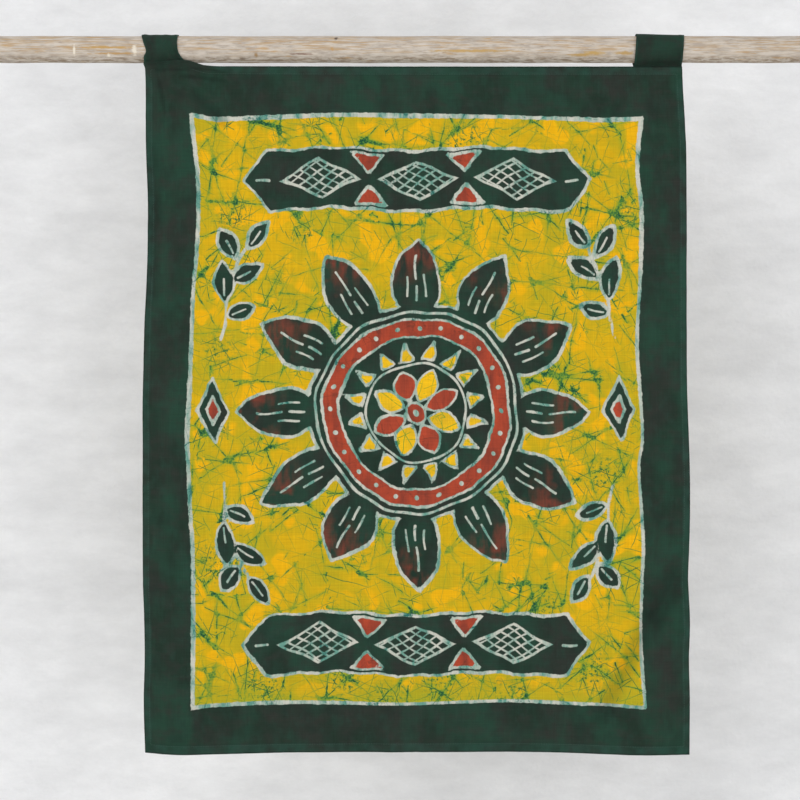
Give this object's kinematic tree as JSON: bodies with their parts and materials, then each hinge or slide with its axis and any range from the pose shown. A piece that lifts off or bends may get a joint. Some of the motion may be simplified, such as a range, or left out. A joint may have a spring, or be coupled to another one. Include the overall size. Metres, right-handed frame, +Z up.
{
  "type": "batik wall hanging on a wooden pole",
  "caption": "Hemmed batik cotton panel with a dyed border and waxed crackle field, hung by sewn loops from a round limed wooden pole.",
  "frame": {"origin": "on the pole's axis, over the middle of the panel", "axes": "+X along the pole to the viewer's right, +Z up, +Y from the viewer towards the wall"},
  "size_m": [1.2, 0.0416, 0.9388],
  "materials": {
    "batik_cotton": "plain woven cotton, wax resist dyed: dark green border, yellow crackled field, rust and white line work",
    "green_cotton": "plain woven cotton, dyed dark green, matt",
    "limed_wood": "pale limed softwood, brushed grain, matt"
  },
  "bodies": {
    "root": {"panel": "batik_cotton", "loop_left": "green_cotton", "loop_right": "green_cotton", "pole": "limed_wood"}
  },
  "joints": []
}
